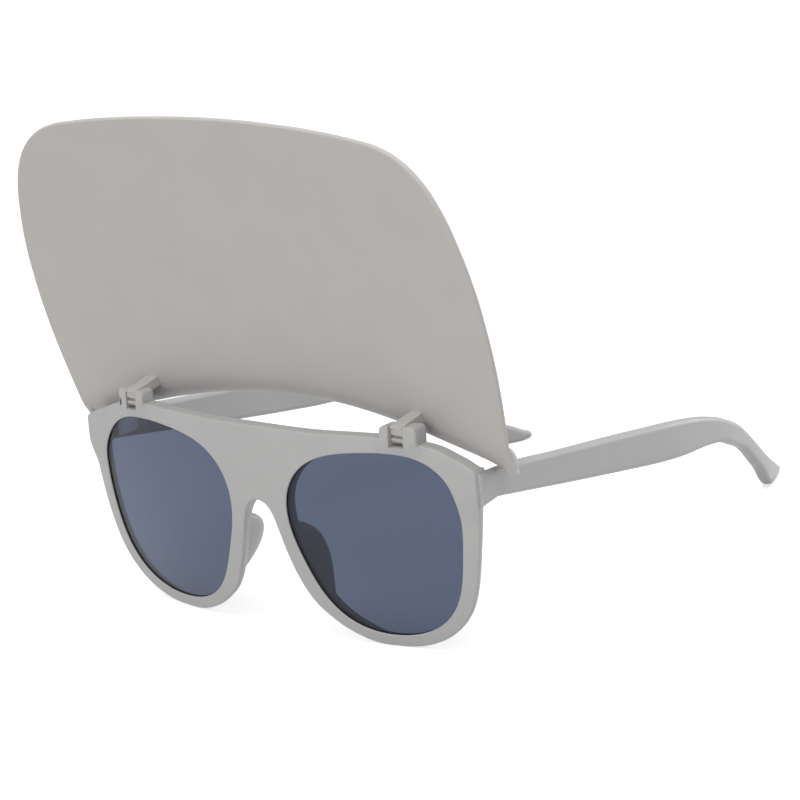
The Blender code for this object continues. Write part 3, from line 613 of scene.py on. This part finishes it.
def endpiece(side):
    """The block behind the front's corner that the temple meets, cut off at the seam."""
    inner = TEMPLE_OUTER_X - TEMPLE_THICKNESS
    outer = (TEMPLE_OUTER_X + SIDE_X) / 2
    past = SEAM_Y + SEAM_OVERRUN
    points = [(ENDPIECE_START, ENDPIECE_LOW - ENDPIECE_DROP, CORNER), (past, ENDPIECE_LOW, CORNER),
              (past, TEMPLE_TOP, CORNER), (ENDPIECE_LEVEL, TEMPLE_TOP + TEMPLE_TOP_RISE, CORNER),
              (ENDPIECE_START, TEMPLE_TOP + ENDPIECE_RISE, CORNER)]
    block = plate("endpiece", points, outer - inner, rounding=TEMPLE_ROUND, rounds=4)
    edit(block, lambda bm: trim(bm, (SEAM_Y - SEAM_GAP / 2, 0, 0), X_AXIS))
    block.data.transform(Matrix.Translation((side * (inner + outer) / 2, 0, 0)) @ STAND)
    return block


def box(name, low, high):
    bm = bmesh.new()
    size = Vector(high) - Vector(low)
    middle = (Vector(high) + Vector(low)) / 2
    where = Matrix.Translation(middle) @ Matrix.Diagonal((*size, 1.0))
    bmesh.ops.create_cube(bm, size=1.0, matrix=where)
    return add_object(name, mesh_from(bm, name))


def cylinder(name, centre, axis, radius, length, sides=48):
    bm = bmesh.new()
    turn = Vector(axis).to_track_quat("Z", "Y").to_matrix().to_4x4()
    bmesh.ops.create_cone(bm, cap_ends=True, segments=sides, radius1=radius, radius2=radius,
                          depth=length, matrix=Matrix.Translation(Vector(centre)) @ turn)
    return add_object(name, mesh_from(bm, name))


def hinge_rooms(side_name, place_name):
    """Cutters for the hinge leaf's plate and for the barrel."""
    low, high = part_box(f"{place_name}_hinge_leaf_{side_name}")
    low, high = low - SHIFT, high - SHIFT
    if place_name == "front":
        high.y = SEAM_Y - KNUCKLE_RADIUS - CLEARANCE
    else:
        low.y = SEAM_Y + KNUCKLE_RADIUS + CLEARANCE
    margin = Vector((CLEARANCE, CLEARANCE, CLEARANCE))
    leaf = box("leaf_room", low - margin, high + margin)
    height = HINGE_HEIGHT + 2 * (SCREW_HEAD_HEIGHT + CLEARANCE)
    hinge = JOINTS[f"temple_{side_name}_fold"]["pos_m"]
    centre = (hinge[0], SEAM_Y, hinge[2])
    barrel = cylinder("barrel_room", centre, Z_AXIS, KNUCKLE_RADIUS + CLEARANCE, height)
    return leaf, barrel


def front_shell():
    """Rims, pads, endpieces and ears in one, cut for lenses, pins and hinges."""
    shell = plate("front_shell", front_outline(), FRONT_DEPTH, rounding=FRONT_ROUND, steps=6)
    edit(shell, round_rim)
    for side in SIDES.values():
        merge(shell, nose_pad(side), solver="MANIFOLD")
    for side in SIDES.values():
        merge(shell, opening_cutter(side), "DIFFERENCE")
    edit(shell, bend_onto_face)
    for side in SIDES.values():
        merge(shell, endpiece(side))
    half = WINDOW_WIDTH / 2
    for name, side in SIDES.items():
        low = (side * EAR_X - half, FLIP_Y - WINDOW_HALF_DEPTH, WINDOW_FLOOR)
        high = (side * EAR_X + half, FLIP_Y + WINDOW_HALF_DEPTH, WINDOW_TOP)
        merge(shell, box("window", low, high), "DIFFERENCE")
        bore = cylinder("bore", (side * EAR_X, FLIP_Y, FLIP_Z), X_AXIS, PIN_RADIUS + RUNNING,
                        PIN_LENGTH + CLEARANCE)
        merge(shell, bore, "DIFFERENCE")
        for room in hinge_rooms(name, "front"):
            merge(shell, room, "DIFFERENCE")
    place(shell, "front", ["front_frame"], FRAME_PLASTIC)


def lens(name, side):
    """A curved disc whose rim is hidden in the groove."""
    outline = lens_outline(GROOVE_DEPTH - CLEARANCE)
    shares = [ring / LENS_RINGS for ring in range(1, LENS_RINGS + 1)]
    levels = [(LENS_RECESS, share) for share in shares]
    levels += [(LENS_RECESS + LENS_THICKNESS, share) for share in reversed(shares)]
    rows = [[(side * (LENS_CENTRE_X + (x - LENS_CENTRE_X) * share),
              LENS_CENTRE_Z + (z - LENS_CENTRE_Z) * share,
              FRONT_DEPTH / 2 - depth) for x, z in outline] for depth, share in levels]
    disc = loft("lens_" + name + "_tinted", rows)

    def close_centres(bm):
        for face in [face for face in bm.faces if len(face.verts) > 4]:
            middle = bmesh.ops.poke(bm, faces=[face])["verts"][0]
            middle.co.x = side * LENS_CENTRE_X
            middle.co.y = LENS_CENTRE_Z
        for vert in bm.verts:
            vert.co = onto_face(vert.co)

    edit(disc, close_centres)
    place(disc, "front", ["lens_" + name], LENS_TINT)


# Visor
def visor_point(q, p, offset):
    """A place across and up the leaning panel, set back by an offset from the hinge's axis."""
    lean = math.radians(VISOR_LEAN)
    return Vector((q, FLIP_Y - p * math.sin(lean) + offset * math.cos(lean),
                   FLIP_Z + p * math.cos(lean) + offset * math.sin(lean)))


def visor_face(q):
    """The panel's offset at a place across it, and how steeply that changes."""
    share = q / SIDE_X
    depth = VISOR_OFFSET - q * q / (2 * VISOR_RADIUS_ACROSS) + VISOR_FLATTEN * share ** 4
    slope = -q / VISOR_RADIUS_ACROSS + 4 * VISOR_FLATTEN * share ** 3 / SIDE_X
    return depth, slope


def visor_rear(q):
    """How high the panel's lower edge lies: an arch, with a sag between the corners."""
    sag = VISOR_REAR_SAG * ease(abs(q), *VISOR_SAG_BAND)
    return VISOR_REAR - VISOR_REAR_DROP * (q / SIDE_X) ** 2 - sag


def visor_curl(steps=66, longest=1.1):
    """Turn, drop and set-back along the curl, which tightens towards the lower edge."""
    along = np.linspace(0.0, longest, steps + 1)
    turns = math.radians(VISOR_CURL) * along ** VISOR_CURL_GAIN
    step = VISOR_CURL_LENGTH * longest / steps

    def summed(rates):
        return np.cumsum(np.insert((rates[1:] + rates[:-1]) / 2 * step, 0, 0.0))

    return along * VISOR_CURL_LENGTH, turns, summed(np.cos(turns)), summed(np.sin(turns))


CURL = visor_curl()
CURL_DROP = float(np.interp(VISOR_CURL_LENGTH, CURL[0], CURL[2]))


def visor_outline():
    """The flat panel's outline, longer by what the curl takes up."""
    extra = CURL_DROP - VISOR_CURL_LENGTH
    edge = [(0, 79.4), (30, 78.7), (50, 77.4), (60, 75.8), (65.7, 73.3), (69.7, 70.2), (72.9, 66.4),
            (76.2, 60), (79.0, 50), (80.6, 40), (81.1, 30), (80.9, 20), (80.0, 10), (78.6, 0),
            (77.5, -7)]
    above_rear = [(77.0, 2.2), (76.3, 0.6), (74.6, 0), (66, 0), (58, 0), (50, 0), (40, 0), (30, 0),
                  (15, 0), (0, 0)]
    points = [(q * MM, p * MM, SMOOTH) for q, p in edge]
    points += [(q * MM, visor_rear(q * MM) + extra + lift * MM, SMOOTH) for q, lift in above_rear]
    return mirrored(points)


def corner_lug(side):
    """The rounded lug behind a lower corner of the panel."""
    bm = bmesh.new()
    turn = Matrix.Rotation(math.radians(VISOR_LEAN), 4, "X")
    scale = Matrix.Diagonal((*LUG_HALF_SIZE, 1.0))
    middle = visor_point(side * LUG_X, LUG_HEIGHT, visor_face(LUG_X)[0] + LUG_DEPTH)
    where = Matrix.Translation(middle) @ turn @ scale
    bmesh.ops.create_uvsphere(bm, u_segments=32, v_segments=20, radius=1.0, matrix=where)
    return add_object("lug", mesh_from(bm, "lug"))


def visor_shell():
    """The panel, its lower edge curled back, with a lug at each lower corner."""
    panel = plate("visor_shell", visor_outline(), VISOR_THICKNESS, rounding=VISOR_ROUND, rounds=3)

    def straighten(co):
        return Vector((co.x, co.y - visor_rear(co.x), co.z + VISOR_THICKNESS / 2))

    def curve_back(co):
        depth, slope = visor_face(co.x)
        past = max(0.0, CURL_DROP - co.y)
        angle, drop, back = (float(np.interp(past, CURL[0], column)) for column in CURL[1:])
        up = visor_rear(co.x) + max(co.y, CURL_DROP) - drop
        normal = Vector((-slope * math.cos(angle), math.sin(angle), math.cos(angle)))
        normal = normal.normalized() * co.z
        return visor_point(co.x + normal.x, up + normal.y, depth + back + normal.z)

    def bend(bm):
        for vert in bm.verts:
            vert.co = straighten(vert.co)
        slice_along(bm, X_AXIS, np.arange(-VISOR_CELLS_X, VISOR_CELLS_X + 1) * VISOR_CELL)
        curl_cuts = VISOR_CURL_LENGTH * np.arange(VISOR_CURL_CUTS) / VISOR_CURL_CUTS
        slice_along(bm, Y_AXIS, CURL_DROP - curl_cuts)
        slice_along(bm, Y_AXIS, CURL_DROP + np.arange(1, VISOR_CELLS_UP + 1) * VISOR_CELL)
        reshape(bm, curve_back)

    edit(panel, bend)
    for side in SIDES.values():
        merge(panel, corner_lug(side))
    place(panel, "visor", ["visor_panel"], VISOR_PLASTIC)


def arc(centre, radius, start, end, steps):
    """Points along an arc between two angles in degrees."""
    angles = np.radians(np.linspace(start, end, steps))
    return [(centre[0] + radius * math.cos(a), centre[1] + radius * math.sin(a)) for a in angles]


def arm(name, side):
    """A clip that snaps round the pin and carries the panel."""
    hub = Vector((FLIP_Y, FLIP_Z))
    face = visor_face(EAR_X)[0] + ARM_SINK
    end_low = visor_point(0, ARM_SEAT - ARM_THICKNESS / 2, face)
    end_high = visor_point(0, ARM_SEAT + ARM_THICKNESS / 2, face)
    lip = hub + Vector((-LIP_FRONT, LIP_TOP))
    lip_low = lip - Vector((0, LIP_HEIGHT))
    recess = lip_low + Vector((LIP_OVERHANG, 0))
    jaw = Vector((recess.x, FLIP_Z + JAW_LOW))
    outline = arc(hub, HUB_RADIUS, 180 + HUB_MOUTH, 360 + HUB_BACK, 40)
    outline += [(end_low.y, end_low.z), (end_high.y, end_high.z)]
    outline += [tuple(point) for point in (lip, lip_low, recess, jaw)]
    outline += arc(hub, PIN_RADIUS + ARM_BORE_GAP, 180 - HUB_MOUTH, -180 + HUB_MOUTH, 48)
    piece = plate("arm_" + name, outline, ARM_WIDTH, polygon=True)
    piece.data.transform(Matrix.Translation((side * EAR_X, 0, 0)) @ STAND)
    bevel = piece.modifiers.new("rounded edges", "BEVEL")
    bevel.width = ARM_ROUND
    bevel.segments = 3
    bevel.limit_method = "ANGLE"
    bevel.angle_limit = math.radians(40)
    bake(piece)
    place(piece, "visor", ["visor_arm_" + name], VISOR_PLASTIC)


# Temples
def temple_outline():
    """The temple seen from the side, from the seam to its tip and back."""
    top = [(9.8, 48.1), (24.7, 45.9), (56.4, 41.4), (79.0, 37.5), (90.8, 34.2), (99.6, 30.6),
           (107.3, 26.5), (113.2, 22.0), (117.4, 18.5), (121.9, 14.6), (126.9, 10.5), (132.6, 6.6),
           (138.1, 3.2), (140.5, 1.3), (138.4, 0.1), (135.0, 0.0), (131.4, 0.1)]
    below = [(129.3, 0.5), (126.8, 2.3), (124.1, 5.2), (121.4, 8.3), (117.4, 11.8), (113.3, 15.6),
             (109.2, 18.8), (102.8, 22.1), (96.7, 24.9), (90.6, 26.5), (72.1, 28.8), (38.8, 34.5)]
    front = SEAM_Y - SEAM_OVERRUN
    points = [(front, TEMPLE_TOP + TEMPLE_TOP_RISE, CORNER), (SEAM_Y, TEMPLE_TOP, SMOOTH)]
    for y, z in top + below:
        sink = TEMPLE_SINK * ease(y * MM, *TEMPLE_SINK_FRONT_BAND)
        sink *= ease(y * MM, *TEMPLE_SINK_TIP_BAND)
        points.append((SEAM_Y + y * MM, z * MM - sink, SMOOTH))
    points += [(SEAM_Y, TEMPLE_LOW, SMOOTH), (front, TEMPLE_LOW + TEMPLE_LOW_RISE, CORNER)]
    return points


def temple(name, side):
    """A blade that curves in towards its tip. The right one is turned in from its hinge on."""
    blade = plate("temple_blade_" + name, temple_outline(), TEMPLE_THICKNESS, rounding=TEMPLE_ROUND,
                  rounds=4)
    edit(blade, lambda bm: trim(bm, (SEAM_Y + SEAM_GAP / 2, 0, 0), -X_AXIS))
    middle = TEMPLE_OUTER_X - TEMPLE_THICKNESS / 2
    turn_start = SEAM_Y + RIGHT_TURN_START
    bend_start = SEAM_Y + TEMPLE_STRAIGHT
    bend_length = TEMPLE_LENGTH - TEMPLE_STRAIGHT
    turn = RIGHT_TURN if side < 0 else 0.0

    def curve_in(co):
        share = max(0.0, co.x - bend_start) / bend_length
        turned = turn * max(0.0, co.x - turn_start)
        slope = -2 * TEMPLE_INWARD * share / bend_length
        normal = Vector((1.0, -slope)).normalized() * co.z
        across = middle - TEMPLE_INWARD * share ** 2 - turned + normal.x
        return Vector((side * across, co.x + normal.y, max(0.0, co.y)))

    def bend(bm):
        slice_along(bm, X_AXIS, [turn_start])
        slice_along(bm, X_AXIS, np.arange(bend_start, SEAM_Y + TEMPLE_LENGTH, TEMPLE_CELL))
        reshape(bm, curve_in)

    edit(blade, bend)
    for room in hinge_rooms(name, "temple"):
        merge(blade, room, "DIFFERENCE")
    place(blade, "temple_" + name, ["temple_" + name], FRAME_PLASTIC)


def dress_small_parts():
    """The pins, hinge leaves and screws stay as the CAD has them."""
    for name, node in frame["nodes"].items():
        if node.hide_render:
            continue
        material = FRAME_PLASTIC if name.startswith("visor_pin") else STEEL
        node.data.materials.clear()
        node.data.materials.append(material)


front_shell()
visor_shell()
for side_name, side_sign in SIDES.items():
    lens(side_name, side_sign)
    arm(side_name, side_sign)
    temple(side_name, side_sign)
dress_small_parts()


# Floor, sky, lights and camera
def any_ray(tree, *kinds):
    """1 for rays of the given kinds and 0 for all others."""
    path = tree.nodes.new("ShaderNodeLightPath")
    found = path.outputs[kinds[0]]
    for kind in kinds[1:]:
        either = tree.nodes.new("ShaderNodeMath")
        either.operation = "MAXIMUM"
        tree.links.new(found, either.inputs[0])
        tree.links.new(path.outputs[kind], either.inputs[1])
        found = either.outputs[0]
    return found


def studio_floor():
    """A grey floor that catches shadows and looks white to the camera."""
    bm = bmesh.new()
    bmesh.ops.create_grid(bm, x_segments=1, y_segments=1, size=FLOOR_HALF_SIZE)
    floor = add_object("studio_floor", mesh_from(bm, "studio_floor"))
    material, tree, shader = new_material("studio_floor")
    shader.inputs["Base Color"].default_value = grey(FLOOR_GREY)
    shader.inputs["Roughness"].default_value = 1.0
    shader.inputs["Specular IOR Level"].default_value = 0.0
    strength = tree.nodes.new("ShaderNodeMath")
    strength.operation = "MULTIPLY"
    strength.inputs[1].default_value = FLOOR_GLOW
    seen = any_ray(tree, "Is Camera Ray", "Is Glossy Ray", "Is Transmission Ray")
    tree.links.new(seen, strength.inputs[0])
    glow = tree.nodes.new("ShaderNodeEmission")
    glow.inputs["Color"].default_value = grey(1.0)
    tree.links.new(strength.outputs[0], glow.inputs["Strength"])
    both = tree.nodes.new("ShaderNodeAddShader")
    out = tree.nodes["Material Output"]
    tree.links.new(shader.outputs[0], both.inputs[0])
    tree.links.new(glow.outputs[0], both.inputs[1])
    tree.links.new(both.outputs[0], out.inputs["Surface"])
    floor.data.materials.append(material)


def studio_world():
    """A pale sky that looks brighter to the camera than it lights."""
    world = bpy.data.worlds.new("studio")
    bpy.context.scene.world = world
    world.use_nodes = True
    tree = world.node_tree
    background = tree.nodes["Background"]
    background.inputs["Color"].default_value = SKY_COLOUR
    strength = tree.nodes.new("ShaderNodeMapRange")
    strength.inputs["To Min"].default_value = SKY_LIGHT
    strength.inputs["To Max"].default_value = SKY_SEEN
    seen = any_ray(tree, "Is Camera Ray", "Is Transmission Ray")
    tree.links.new(seen, strength.inputs["Value"])
    tree.links.new(strength.outputs["Result"], background.inputs["Strength"])


def softbox(name, location, target, size, power, colour=(1.0, 1.0, 1.0)):
    """A rectangular light that faces its target."""
    light = bpy.data.lights.new(name, "AREA")
    light.shape = "RECTANGLE"
    light.size = size[0]
    light.size_y = size[1]
    light.energy = power
    light.color = colour
    lamp = add_object(name, light)
    lamp.location = location
    lamp.rotation_mode = "QUATERNION"
    lamp.rotation_quaternion = (Vector(location) - Vector(target)).to_track_quat("Z", "Y")


def camera():
    """The photograph's viewpoint."""
    data = bpy.data.cameras.new("camera")
    data.sensor_width = SENSOR
    data.lens = FOCAL_PIXELS * SENSOR / FRAME_PIXELS
    data.clip_start = 0.01
    data.clip_end = 20.0
    holder = add_object("camera", data)
    axes = Matrix((CAMERA_RIGHT, CAMERA_UP, CAMERA_BACK)).transposed()
    where = CAMERA_TARGET + CAMERA_BACK * CAMERA_DISTANCE + SHIFT
    holder.matrix_world = Matrix.Translation(where) @ axes.to_4x4()
    bpy.context.scene.camera = holder


studio_floor()
studio_world()
softbox("top_light", location=(0.1, -0.2, 1.3), target=(0, 0, 0.05), size=(1.0, 1.0), power=10.0)
softbox("front_light", location=(0.3, -1.5, 0.55), target=(0, 0, 0.06), size=(1.2, 0.7), power=6.3,
        colour=(1.0, 0.985, 0.955))
softbox("side_light", location=(0.55, 1.5, 0.35), target=(0, 0, 0.05), size=(1.0, 0.6), power=9.0,
        colour=(0.97, 0.975, 1.0))
camera()
bpy.context.scene.view_settings.view_transform = "Standard"
